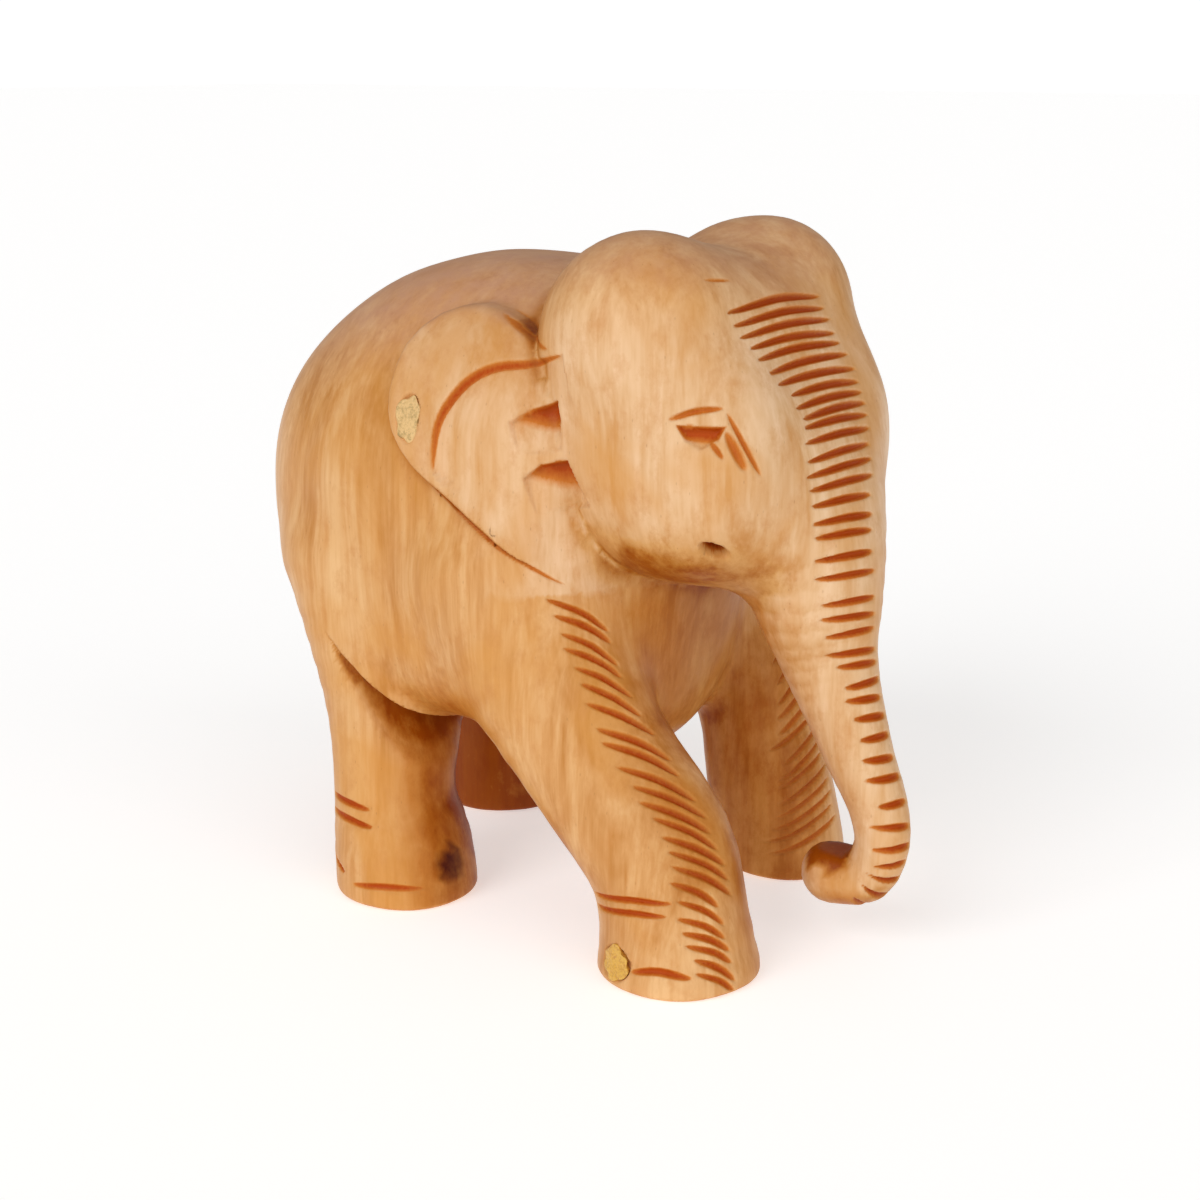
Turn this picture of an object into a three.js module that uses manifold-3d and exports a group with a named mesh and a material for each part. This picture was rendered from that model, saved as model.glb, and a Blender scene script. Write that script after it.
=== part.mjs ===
// A carved wooden elephant that stands on its four soles: one block of wood,
// with two small plugs of hard filler set into pockets in the wood.
//
// +Z is up and the elephant looks along -Y, so its right side is at -X.
// The form is an implicit surface: rounded blocks for the body and head, and round limbs for
// the legs, trunk and tail, blended with each other. Each ear is a thin plate on the shoulder.
import * as THREE from 'three';
import { MarchingCubes } from 'three/addons/objects/MarchingCubes.js';
import { mergeVertices } from 'three/addons/utils/BufferGeometryUtils.js';
import Module from 'manifold-3d';

const wasm = await Module();
wasm.setup();

// Driving dimensions, in millimetres.
const height = 100;
const facet = 3;
const plugGap = 0.3;

// Every place and size below is in hundredths of the height, before the finished
// form is centred over its feet and brought to the exact height.
// The field is a cube of facets round the figure, placed so that the ground plane
// passes through the middle of a layer.
const fieldSize = 40 * facet;
const fieldLift = 16.5 * facet;
const soleCut = facet;
const mostFacets = 20000;
const weldDistance = 1e-4;

// Body: rump, shoulders, chest, and the full lower flank on each side.
const rump = { centre: [0, 15.5, 58.5], radii: [29, 34, 32], power: 2.2 };
const shoulders = { centre: [0, 5, 63.5], radii: [28, 29.5, 30.5], power: 2.4 };
const chest = { centre: [0, -8, 44], radii: [18, 14.5, 21], power: 2 };
const flank = { centre: [13.5, 5, 46], radii: [15, 22, 12.5], power: 2.6 };

// Head: skull, jaw, brow on each side, and the two domes of the forehead.
const skull = { centre: [0, -21.7, 77], radii: [25.3, 17.5, 19], power: 2.5 };
const jaw = { centre: [0, -27.5, 66], radii: [24.3, 18, 15], power: 2.3 };
const brow = { centre: [14, -32.5, 73], radii: [8.5, 9.5, 12], power: 2 };
const rightDome = { centre: [-14.5, -22, 88.5], radii: [12.3, 11.5, 11], power: 2 };
const leftDome = { centre: [15.8, -22, 89.8], radii: [12, 11.5, 10], power: 2 };

// Limbs: rows of x, y, z and radius, from the body outwards.
// The right front leg reaches forward, the left one stands further back.
const rightForeleg = [
  [-17, -2.5, 52, 15],
  [-18.5, -8.5, 41, 13],
  [-19.3, -17, 29, 11],
  [-19.5, -26.5, 17, 9.8],
  [-19.7, -31.5, 8, 10.4],
  [-20, -32.8, -4, 12],
];
const leftForeleg = [
  [17, -4.5, 52, 13],
  [20.5, -11.5, 38, 10.2],
  [22, -17.7, 26, 8.7],
  [22.4, -22, 14, 8.5],
  [22.3, -23.5, 6, 9.2],
  [22.3, -24.5, -4, 10.2],
];
const rightHindleg = [
  [-15.5, 25, 50, 14],
  [-17, 21.2, 38, 12],
  [-19, 18.6, 26, 10.2],
  [-20, 18, 15, 9.5],
  [-20.2, 17.6, 6, 9.8],
  [-20, 16.8, -4, 10.4],
];
const leftHindleg = [
  [15.5, 27, 50, 14],
  [17.5, 28.4, 38, 12.4],
  [19.3, 29.6, 26, 11.2],
  [20, 30, 15, 10.7],
  [20.3, 29.9, 6, 10.8],
  [20.2, 29.7, -4, 11.2],
];
const trunk = [
  [0, -24, 83, 12],
  [0, -31, 73, 12],
  [0, -35.5, 65, 10.8],
  [0, -40, 58, 9.8],
  [0, -41.6, 50, 8.7],
  [0, -43, 44, 7.1],
  [0, -45.3, 37, 5.8],
  [0, -48.8, 29, 4.8],
  [0, -51.8, 22.5, 4.1],
  [0, -52.8, 16.5, 3.8],
  [0, -50.6, 11.6, 4.1],
  [0, -46.6, 10.7, 4.4],
];
// The tail lies against the rump all the way down.
const tail = [
  [0, 43.5, 77, 2],
  [0, 48.6, 68, 2.3],
  [0, 50, 58, 2],
  [0, 48.6, 48, 1.9],
  [0, 45.4, 40, 2.3],
  [0, 42.4, 35, 2.8],
];
const limbSteps = 3;
// The trunk is this much broader than it is deep at its root, and round further down.
const trunkBroadening = 0.35;
const trunkRoundBelow = 38;
const trunkBroadAbove = 74;

// Ear: its outline seen from the side, as y and z, and how far it stands off the body.
const earOutline = [
  [-26, 55.5],
  [-22, 71],
  [-16.5, 86],
  [-6, 90],
  [5, 83.5],
  [7.8, 74.5],
  [0, 64.5],
  [-14, 57.2],
];
const earPoints = 24;
const ear = { low: 0.8, high: 2, from: 58, to: 76, inner: 15, outer: 34 };

// Flank fold: a pocket under the belly's lower lip, where each hind leg is set in.
// The lip is a curve of z over y that climbs towards the rump.
const fold = {
  depth: 2.4,
  front: -2.5,
  low: 33.2,
  slope: 0.2,
  bend: 0.0042,
  length: 31,
  lip: 3,
  // How far down the pocket runs out, how fast, and how much further at its front end.
  deepShare: 0.35,
  frontReach: 9,
  rearTaper: 0.45,
  frontTaper: [0.98, 1.12],
  sideways: [15, 22],
};
const leftHindlegShift = 10;

// How widely neighbouring forms flow into each other.
const blends = { body: 8, chest: 6, leg: 5, hindleg: 3, tail: 1.5, head: 6, dome: 8, trunk: 5 };
const neckCrease = 1.2;

// Mouth: a small round pit in each cheek, beside the trunk's root, turned to face outwards.
const pit = { centre: [19.8, -37.4, 60], radius: 1.25, depth: 4.5, sides: 12, turn: 0.6 };

// Filler plugs: centre on the surface of the wood, and the radii of the pocket.
const plugs = [
  { name: 'foot_filler', centre: [-30.3, -28.9, 3.6], radii: [2.2, 3.1, 2.6], colour: 0xb9963c },
  { name: 'ear_filler', centre: [-29.8, 5.4, 74], radii: [2.2, 2.2, 4], colour: 0xa58f52 },
];

const plugFacets = { around: 12, down: 8 };

const woodColour = 0xd9a873;
const woodRoughness = 0.45;
const fillerRoughness = 0.6;

// Smooth union of two distances, with a fillet about as wide as the blend.
function join(a, b, blend) {
  const overlap = Math.max(blend - Math.abs(a - b), 0) / blend;
  return Math.min(a, b) - (overlap * overlap * blend) / 4;
}

// Distance to a rounded block: an ellipsoid at power 2, boxier at a higher power.
function blockDistance(point, { centre, radii, power }) {
  const reach = [point.x, point.y, point.z].map(
    (value, i) => Math.abs(value - centre[i]) / radii[i] + 1e-6,
  );
  const size = reach.reduce((sum, r) => sum + r ** power, 0) ** (1 / power);
  const slopes = reach.map((r, i) => r ** (power - 1) / radii[i]);
  return (size - 1) / (size ** (1 - power) * Math.hypot(...slopes));
}

// A limb as a chain of round sections on a smooth curve through its rows.
function limbSections(rows) {
  const places = rows.map(([x, y, z]) => new THREE.Vector3(x, y, z));
  const sizes = rows.map((row) => new THREE.Vector3(row[3], 0, 0));
  const path = new THREE.CatmullRomCurve3(places, false, 'catmullrom');
  const girth = new THREE.CatmullRomCurve3(sizes, false, 'catmullrom');
  const count = limbSteps * (rows.length - 1);
  return Array.from({ length: count + 1 }, (_, i) => ({
    at: path.getPoint(i / count),
    radius: girth.getPoint(i / count).x,
  }));
}

const bone = new THREE.Line3();
const onBone = new THREE.Vector3();

// Distance to a limb: the nearest of the cones between neighbouring sections.
function limbDistance(point, sections) {
  let nearest = Infinity;
  for (let i = 1; i < sections.length; i += 1) {
    const [from, to] = [sections[i - 1], sections[i]];
    bone.set(from.at, to.at);
    const t = bone.closestPointToPointParameter(point, true);
    const radius = THREE.MathUtils.lerp(from.radius, to.radius, t);
    nearest = Math.min(nearest, bone.at(t, onBone).distanceTo(point) - radius);
  }
  return nearest;
}

const limbs = {
  fore: [rightForeleg, leftForeleg].map(limbSections),
  hind: [rightHindleg, leftHindleg].map(limbSections),
  trunk: limbSections(trunk),
  tail: limbSections(tail),
};

// Depth of the flank pocket at a point on either side.
function foldDepth(point) {
  const { smoothstep } = THREE.MathUtils;
  const shift = point.x < 0 ? 0 : leftHindlegShift;
  const along = point.y - shift - fold.front;
  const lip = fold.low + fold.slope * along + fold.bend * along * along;
  const forward = 1 - along / fold.length;
  const reach = 1 + fold.frontReach * Math.max(forward, 0);
  const below = lip - point.z;
  const fade = smoothstep(below, fold.deepShare * reach, reach);
  const undercut = smoothstep(below, 0, fold.lip) * (1 - fade);
  const front = 1 - smoothstep(forward, ...fold.frontTaper);
  const taper = smoothstep(forward, 0, fold.rearTaper) * front;
  return fold.depth * undercut * taper * smoothstep(Math.abs(point.x), ...fold.sideways);
}

const mirrored = new THREE.Vector3();
const narrowed = new THREE.Vector3();

// Body and front legs, which the ears lie against.
function barrelDistance(point) {
  let d = blockDistance(point, rump);
  d = join(d, blockDistance(point, shoulders), blends.body);
  d = join(d, blockDistance(point, chest), blends.chest);
  d = join(d, blockDistance(mirrored, flank), blends.chest);
  const legs = limbs.fore.map((sections) => limbDistance(point, sections));
  return join(d, Math.min(...legs), blends.leg);
}

function headDistance(point) {
  let d = blockDistance(point, skull);
  d = join(d, blockDistance(point, jaw), blends.head);
  const domes = Math.min(blockDistance(point, rightDome), blockDistance(point, leftDome));
  d = join(d, domes, blends.dome);
  d = join(d, blockDistance(mirrored, brow), blends.head);
  const broad = THREE.MathUtils.smoothstep(point.z, trunkRoundBelow, trunkBroadAbove);
  narrowed.copy(point);
  narrowed.x /= 1 + trunkBroadening * broad;
  return join(d, limbDistance(narrowed, limbs.trunk), blends.trunk);
}

// Distance to the whole elephant but its ears.
function elephantDistance(point) {
  const legs = limbs.hind.map((sections) => limbDistance(point, sections));
  let d = join(barrelDistance(point), Math.min(...legs), blends.hindleg) + foldDepth(point);
  d = join(d, limbDistance(point, limbs.tail), blends.tail);
  return join(d, headDistance(point), neckCrease);
}

// Distance to the skin that the ears reach out to, further off the body higher up.
function earSkinDistance(point) {
  const rise = THREE.MathUtils.smoothstep(point.z, ear.from, ear.to);
  return barrelDistance(point) - THREE.MathUtils.lerp(ear.low, ear.high, rise);
}

// An implicit surface as a closed mesh that ends a little below the ground. Values close to
// zero are moved a tenth of a facet away, which keeps the facets from becoming slivers.
function carveForm(distance) {
  const count = Math.round(fieldSize / facet);
  const half = fieldSize / 2;
  const cubes = new MarchingCubes(count, new THREE.MeshBasicMaterial(), false, false, mostFacets);
  cubes.isolation = 0;
  const point = new THREE.Vector3();
  const place = (i) => (i / (count / 2) - 1) * half;
  for (let k = 0; k < count; k += 1) {
    for (let j = 0; j < count; j += 1) {
      for (let i = 0; i < count; i += 1) {
        point.set(place(i), place(j), place(k) + fieldLift);
        mirrored.set(Math.abs(point.x), point.y, point.z);
        const inside = -Math.max(distance(point), -soleCut - point.z);
        const away = Math.max(Math.abs(inside), facet / 10);
        cubes.setCell(i, j, k, inside < 0 ? -away : away);
      }
    }
  }
  cubes.update();
  const used = cubes.geometry.drawRange.count * 3;
  const geometry = new THREE.BufferGeometry();
  const corners = cubes.geometry.attributes.position.array.slice(0, used);
  geometry.setAttribute('position', new THREE.BufferAttribute(corners, 3));
  return geometry.scale(half, half, half).translate(0, 0, fieldLift);
}

function toSolid(geometry) {
  const bare = geometry.clone();
  bare.deleteAttribute('normal');
  bare.deleteAttribute('uv');
  const merged = mergeVertices(bare, weldDistance);
  return new wasm.Manifold(new wasm.Mesh({
    numProp: 3,
    vertProperties: merged.attributes.position.array,
    triVerts: new Uint32Array(merged.index.array),
  }));
}

function toGeometry(solid) {
  const mesh = solid.getMesh();
  const geometry = new THREE.BufferGeometry();
  geometry.setAttribute('position', new THREE.BufferAttribute(mesh.vertProperties, 3));
  geometry.setIndex(new THREE.BufferAttribute(mesh.triVerts, 1));
  return geometry;
}

// Everything below the ground plane, which gives the four soles their flat faces.
function groundSolid() {
  const thick = 4 * soleCut;
  return toSolid(new THREE.BoxGeometry(fieldSize, fieldSize, thick).translate(0, 0, -thick / 2));
}

// A block with the ear's outline seen from the side, from inside the body to outside it.
function earBlock(side) {
  const places = earOutline.map(([y, z]) => new THREE.Vector3(y, z, 0));
  const curve = new THREE.CatmullRomCurve3(places, true, 'catmullrom');
  const shape = new THREE.Shape(curve.getPoints(earPoints).slice(0, -1));
  const depth = ear.outer - ear.inner;
  const block = new THREE.ExtrudeGeometry(shape, { depth, bevelEnabled: false });
  const sideways = new THREE.Matrix4().makeBasis(
    new THREE.Vector3(0, 1, 0),
    new THREE.Vector3(0, 0, 1),
    new THREE.Vector3(1, 0, 0),
  );
  block.applyMatrix4(sideways).translate(side < 0 ? -ear.outer : ear.inner, 0, 0);
  return toSolid(block);
}

function pitSolid(side) {
  const [x, y, z] = pit.centre;
  const rod = new THREE.CylinderGeometry(pit.radius, pit.radius, 2 * pit.depth, pit.sides);
  rod.rotateZ(Math.PI / 2).rotateZ(-side * pit.turn);
  return toSolid(rod.translate(side * x, y, z));
}

// A pocket or, with the gap taken off its radii, the plug that fills it.
function plugSolid({ centre, radii }, gap) {
  const ball = new THREE.SphereGeometry(1, plugFacets.around, plugFacets.down);
  ball.scale(radii[0] - gap, radii[1] - gap, radii[2] - gap);
  return toSolid(ball.translate(...centre));
}

function makeMesh(name, solid, colour, roughness) {
  const material = new THREE.MeshStandardMaterial({ color: colour, roughness, metalness: 0 });
  const mesh = new THREE.Mesh(toGeometry(solid), material);
  mesh.name = name;
  return mesh;
}

const sides = [-1, 1];
const earSkin = toSolid(carveForm(earSkinDistance));
let wholeForm = toSolid(carveForm(elephantDistance)).subtract(groundSolid());
for (const side of sides) wholeForm = wholeForm.add(earBlock(side).intersect(earSkin));

let wood = wholeForm;
for (const side of sides) wood = wood.subtract(pitSolid(side));
for (const plug of plugs) wood = wood.subtract(plugSolid(plug, 0));

const elephant = new THREE.Group();
elephant.add(makeMesh('carved_body', wood, woodColour, woodRoughness));
const gapInUnits = (plugGap * 100) / height;
for (const plug of plugs) {
  const filler = wholeForm.intersect(plugSolid(plug, gapInUnits));
  elephant.add(makeMesh(plug.name, filler, plug.colour, fillerRoughness));
}

// Centre the figure over the ground and bring it to its exact height.
const extent = new THREE.Box3().setFromObject(elephant);
const middle = extent.getCenter(new THREE.Vector3());
const scale = height / (extent.max.z - extent.min.z);
elephant.scale.setScalar(scale);
elephant.position.set(-middle.x * scale, -middle.y * scale, -extent.min.z * scale);

export default elephant;
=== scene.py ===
import math
import bpy
import numpy as np
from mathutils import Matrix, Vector


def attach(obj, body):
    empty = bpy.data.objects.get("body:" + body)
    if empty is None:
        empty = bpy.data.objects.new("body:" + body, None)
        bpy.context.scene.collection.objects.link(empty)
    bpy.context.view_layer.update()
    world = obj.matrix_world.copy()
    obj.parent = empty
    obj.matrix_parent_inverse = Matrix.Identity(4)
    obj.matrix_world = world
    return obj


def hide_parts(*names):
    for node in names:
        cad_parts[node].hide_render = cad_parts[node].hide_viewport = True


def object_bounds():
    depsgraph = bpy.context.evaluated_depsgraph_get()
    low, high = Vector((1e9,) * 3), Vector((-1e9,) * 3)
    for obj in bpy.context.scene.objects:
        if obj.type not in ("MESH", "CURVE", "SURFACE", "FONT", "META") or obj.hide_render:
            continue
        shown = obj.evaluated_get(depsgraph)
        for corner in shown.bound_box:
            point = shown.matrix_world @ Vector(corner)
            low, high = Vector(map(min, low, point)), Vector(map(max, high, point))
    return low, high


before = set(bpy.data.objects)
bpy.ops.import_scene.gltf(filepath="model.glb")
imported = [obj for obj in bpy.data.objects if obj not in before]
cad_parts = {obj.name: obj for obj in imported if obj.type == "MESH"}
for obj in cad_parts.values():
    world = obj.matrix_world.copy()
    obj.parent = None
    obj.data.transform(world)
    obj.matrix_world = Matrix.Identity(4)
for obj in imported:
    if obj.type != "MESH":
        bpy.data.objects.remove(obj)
cadLow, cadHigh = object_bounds()
print("frame loaded")

# The elephant is drawn in hundredths of its own height: z up, the face towards -y,
# its right side towards -x. Blocks are (centre, radii, squareness).
bodyBlocks = {
    "rump": ((0, 15.5, 58.5), (29, 34, 32), 2.2),
    "shoulders": ((0, 5, 63.5), (28, 29.5, 30.5), 2.4),
    "chest": ((1.2, -8, 43.6), (19.5, 14.8, 22), 2.2),
    "flank": ((13.5, 5, 43.4), (15, 22.5, 14.6), 2.6),
    "chestBlend": 6,
    "bodyBlend": 8,
    "legBlend": 3.5,
    "hindBlend": 3,
    "soleRound": 1.5,
}
headBlocks = {
    "skull": ((0, -21.7, 77), (25.3, 17.5, 19), 2.5),
    "jaw": ((0, -27.5, 66), (24.3, 18, 15), 2.3),
    "rightDome": ((-14.5, -22, 88.5), (12.3, 11.5, 11), 2.0),
    "leftDome": ((15.8, -22, 89.8), (12, 11.5, 10), 2.0),
    "brow": ((14, -32.5, 73), (8.5, 9.5, 12), 2.0),
    "skullBlend": 6,
    "domeBlend": 8,
    "trunkBlend": 5,
    "neckCrease": 1.2,
}
# rows of (x, y, z, radius) down each limb
limbs = {
    "rightFore": [(-17, -2.5, 52, 15), (-18.5, -8.5, 41, 13), (-19.3, -17, 29, 11),
                  (-19, -27.8, 17, 10.6), (-19.7, -31.3, 8, 10.4), (-20, -32.8, -4, 12)],
    "leftFore": [(17, -4.5, 52, 13), (20.5, -11.5, 38, 10.2), (22, -17.7, 26, 8.7),
                 (21.6, -21.4, 14, 9.5), (22.1, -23.1, 6, 9.6), (22.3, -24.5, -4, 10.2)],
    "rightHind": [(-15.5, 25, 50, 14), (-17, 21.6, 38, 12), (-19, 19.4, 26, 10),
                  (-20, 19, 15, 9.1), (-20.2, 17.5, 6, 10.4), (-20, 16.6, -4, 11)],
    "leftHind": [(15.5, 27, 50, 14), (17.5, 28.4, 38, 12.4), (19.3, 29.6, 26, 11.2),
                 (20, 30, 15, 10.7), (20.3, 29.9, 6, 10.8), (20.2, 29.7, -4, 11.2)],
    "trunk": [(0, -24, 83, 12), (0, -31, 73, 12), (0, -35.5, 65, 10.8), (0, -40, 58, 9.8),
              (0, -41.6, 50, 8.7), (0, -43, 44, 7.1), (0, -45.3, 37, 5.8), (0, -48.8, 29, 4.8),
              (0, -51.8, 22.5, 4.1), (0, -52.8, 16.5, 3.8), (0, -50.6, 11.6, 4.1),
              (0, -45.4, 10.6, 4.4)],
    "tipTop": 14.1,
    "tipBehind": -48.6,
    "tipBelow": 20,
    "tail": [(0, 43.5, 77, 2), (0, 48.6, 68, 2.3), (0, 50, 58, 2), (0, 48.6, 48, 1.9),
             (0, 45.4, 40, 2.3), (0, 42.4, 35, 2.8)],
    "sections": 3,
    "tailBlend": 1.5,
    "trunkWidening": 0.35,
    "widenFrom": 38,
    "widenTo": 74,
}
# the ear is a flap that stands a little proud of the body, seen from the side as (y, z)
ear = {
    "outline": [(-23, 58), (-24, 71), (-17, 84), (-11, 84.8), (-6, 87.6), (0, 89.4), (5.5, 88),
                (9, 84), (9.6, 78), (8.2, 72.5), (4.6, 67.8), (-0.7, 64.2), (-7.5, 59.8),
                (-15.7, 54.4)],
    "lowLift": 0.8,
    "topLift": 2.4,
    "lobe": [(-17.8, 84.6), (-10.9, 82.7), (-6.4, 82.1), (-3.1, 80.4), (-0.6, 77.1),
             (0.7, 73.5), (1.1, 67.6)],
    "dish": 0.9,
    "dishWidth": 6,
    "liftFrom": 58,
    "liftTo": 76,
    "innerX": 15,
    "edgeBlend": 0.5,
    "edgeRound": 1.0,
    # the front lower corner is tucked in towards the cheek
    "tuck": 1.4,
    "tuckFront": (-11, -17),
    "tuckBelow": (66, 60),
}
# the flank hangs over each hind leg, with a hollow cut in under its edge
fold = {
    "front": 6,
    "height": 27,
    "slope": 0.5,
    "bend": 0.019,
    "back": 24.5,
    "reachGrowth": 0.55,
    "depthGrowth": 0.3,
    "deepest": 4.2,
    "leftShift": 12,
    "lip": 1.4,
    "leastReach": 0.8,
    "fullShare": 0.35,
    "frontFade": 5,
    "sideways": (11, 17),
}
# the net's spacing, and how far round marks and edges each of the two refinements reaches
mesh = {
    "spacing": 1.14,
    "coarse": 4,
    "refine": ((0.9, 1.1), (0.12, 0.4)),
    "hollowSteps": (2.0, 5.0, 11.0),
    "low": (-34.0, -60.0, -2.0),
    "high": (34.0, 56.0, 104.0),
}


def ramp(low, high, x):
    # smooth step from 0 at low to 1 at high
    t = np.clip((x - low) / (high - low), 0, 1)
    return t * t * (3 - 2 * t)


def join(a, b, blend):
    # smooth minimum: two forms run into each other over the blend distance
    h = np.maximum(blend - np.abs(a - b), 0) / blend
    return np.minimum(a, b) - h * h * blend / 4


def meet(a, b, blend):
    # smooth maximum: what two forms share
    return -join(-a, -b, blend)


def block(p, row):
    # distance to a squared ellipsoid: (|x/a|^n + |y/b|^n + |z/c|^n)^(1/n) = 1
    centre, radii, power = row
    q = np.abs((p - np.array(centre, float)) / np.array(radii, float)) + 1e-6
    k = (q ** power).sum(1) ** (1 / power)
    steep = k ** (1 - power) * np.sqrt(((q ** (power - 1) / np.array(radii, float)) ** 2).sum(1))
    return (k - 1) / steep


def smoothRows(rows, parts, closed=False):
    # uniform Catmull-Rom curve through the rows, each stretch cut into parts
    rows = np.array(rows, float)
    if closed:
        padded = np.vstack([rows[-1:], rows, rows[:2]])
    else:
        padded = np.vstack([2 * rows[0] - rows[1], rows, 2 * rows[-1] - rows[-2]])
    t = (np.arange(parts) / parts)[None, :, None]
    a, b, c, d = (padded[i:len(padded) - 3 + i, None] for i in range(4))
    curve = 0.5 * (2 * b + (c - a) * t + (2 * a - 5 * b + 4 * c - d) * t ** 2
                   + (3 * b - a - 3 * c + d) * t ** 3)
    curve = curve.reshape(-1, rows.shape[1])
    return curve if closed else np.vstack([curve, rows[-1:]])


limbRows = {name: smoothRows(rows, limbs["sections"])
            for name, rows in limbs.items() if isinstance(rows, list)}
earLine = smoothRows(ear["outline"], 2, closed=True)
lobeLine = smoothRows(ear["lobe"], 3)


def limb(p, name):
    # distance to a chain of round cones
    rows = limbRows[name]
    best = None
    for a, b in zip(rows[:-1], rows[1:]):
        run = b[:3] - a[:3]
        h = np.clip((p - a[:3]) @ run / (run @ run), 0, 1)
        d = np.linalg.norm(p - a[:3] - h[:, None] * run, axis=1) - (a[3] + (b[3] - a[3]) * h)
        best = d if best is None else np.minimum(best, d)
    return best


def insideLine(p, line):
    # signed distance to a closed outline in a plane, below zero inside
    best = np.full(len(p), 1e9)
    sign = np.ones(len(p))
    for a, b in zip(line, np.roll(line, 1, axis=0)):
        e = b - a
        w = p - a
        h = np.clip((w @ e) / (e @ e), 0, 1)
        best = np.minimum(best, ((w - h[:, None] * e) ** 2).sum(1))
        above = p[:, 1] >= a[1]
        below = p[:, 1] < b[1]
        left = e[0] * w[:, 1] > e[1] * w[:, 0]
        sign = np.where((above & below & left) | (~above & ~below & ~left), -sign, sign)
    return sign * np.sqrt(best)


def nearLine(q, line):
    # distance from each flat point to a line of short stretches, and how far along that is
    best = np.full(len(q), 1e9)
    along = np.zeros(len(q))
    for i, (a, b) in enumerate(zip(line[:-1], line[1:])):
        e = b - a
        h = np.clip(((q - a) @ e) / (e @ e), 0, 1)
        d = np.hypot(*(q - a - h[:, None] * e).T)
        closer = d < best
        best = np.where(closer, d, best)
        along = np.where(closer, (i + h) / (len(line) - 1), along)
    return best, along


def foldEdge(p):
    # the flank's hanging edge: z as a parabola over y, set further back on the left side
    y = p[:, 1] - np.where(p[:, 0] < 0, 0, fold["leftShift"])
    t = np.maximum(y - fold["front"], 0)
    return y, fold["height"] + fold["slope"] * t + fold["bend"] * t * t


def foldDepth(p):
    # how deep the hollow under the flank is at a point: it opens and deepens to the front
    y, edge = foldEdge(p)
    run = np.maximum(fold["back"] - y, 0)
    v = edge - p[:, 2]
    reach = fold["leastReach"] + fold["reachGrowth"] * run
    depth = np.minimum(fold["depthGrowth"] * run, fold["deepest"])
    return (depth * ramp(0, fold["lip"], v) * (1 - ramp(fold["fullShare"] * reach, reach, v))
            * ramp(0, fold["frontFade"], y) * ramp(*fold["sideways"], np.abs(p[:, 0])))


def carvedForm(p):
    # signed distance to the whole figure before the knife marks
    m = np.column_stack([np.abs(p[:, 0]), p[:, 1:]])
    barrel = block(p, bodyBlocks["rump"])
    barrel = join(barrel, block(p, bodyBlocks["shoulders"]), bodyBlocks["bodyBlend"])
    barrel = join(barrel, block(p, bodyBlocks["chest"]), bodyBlocks["chestBlend"])
    barrel = join(barrel, block(m, bodyBlocks["flank"]), bodyBlocks["chestBlend"])
    barrel = join(barrel, np.minimum(limb(p, "rightFore"), limb(p, "leftFore")),
                  bodyBlocks["legBlend"])
    body = join(barrel, np.minimum(limb(p, "rightHind"), limb(p, "leftHind")),
                bodyBlocks["hindBlend"])
    body = body + foldDepth(p)
    body = join(body, limb(p, "tail"), limbs["tailBlend"])
    head = join(block(p, headBlocks["skull"]), block(p, headBlocks["jaw"]),
                headBlocks["skullBlend"])
    domes = np.minimum(block(p, headBlocks["rightDome"]), block(p, headBlocks["leftDome"]))
    head = join(head, domes, headBlocks["domeBlend"])
    head = join(head, block(m, headBlocks["brow"]), headBlocks["skullBlend"])
    q = p.copy()
    q[:, 0] /= 1 + limbs["trunkWidening"] * ramp(limbs["widenFrom"], limbs["widenTo"], p[:, 2])
    nose = limb(q, "trunk")
    # the curled tip is cut off flat
    atTip = (p[:, 1] > limbs["tipBehind"]) & (p[:, 2] < limbs["tipBelow"])
    nose = np.where(atTip, np.maximum(nose, p[:, 2] - limbs["tipTop"]), nose)
    head = join(head, nose, headBlocks["trunkBlend"])
    whole = join(body, head, headBlocks["neckCrease"])
    lift = ear["lowLift"] + (ear["topLift"] - ear["lowLift"]) * ramp(
        ear["liftFrom"], ear["liftTo"], p[:, 2])
    lift = lift - ear["tuck"] * ramp(*ear["tuckFront"], p[:, 1]) * ramp(
        *ear["tuckBelow"], p[:, 2])
    flap = meet(barrel - lift, insideLine(m[:, 1:], earLine), ear["edgeRound"])
    flap = meet(flap, ear["innerX"] - m[:, 0], ear["edgeRound"])
    whole = join(whole, flap, ear["edgeBlend"])
    return meet(whole, -p[:, 2], bodyBlocks["soleRound"])


def inParts(function, p, size=60000):
    # long lists of points go through in pieces, to keep memory small
    return np.concatenate([function(p[i:i + size]) for i in range(0, len(p), size)])


def doubled(values):
    # puts one new sample between each two, along every axis
    for axis in range(3):
        v = np.moveaxis(values, axis, 0)
        wide = np.empty((2 * len(v) - 1,) + v.shape[1:])
        wide[::2] = v
        wide[1::2] = (v[:-1] + v[1:]) / 2
        values = np.moveaxis(wide, 0, axis)
    return values


def sampledField(low, high, spacing):
    # distance on a grid: coarse everywhere, then finer only near the surface
    step = mesh["coarse"]
    counts = np.ceil((high - low) / (spacing * step)).astype(int) + 1
    axes = np.meshgrid(*[np.arange(c) for c in counts], indexing="ij")
    points = np.stack(axes, -1).reshape(-1, 3) * spacing * step + low
    values = inParts(carvedForm, points).reshape(counts)
    while step > 1:
        step //= 2
        values = doubled(values)
        near = np.argwhere(np.abs(values) < 3.2 * step * spacing)
        points = near * spacing * step + low
        values[tuple(near.T)] = inParts(carvedForm, points)
    return values


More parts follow.
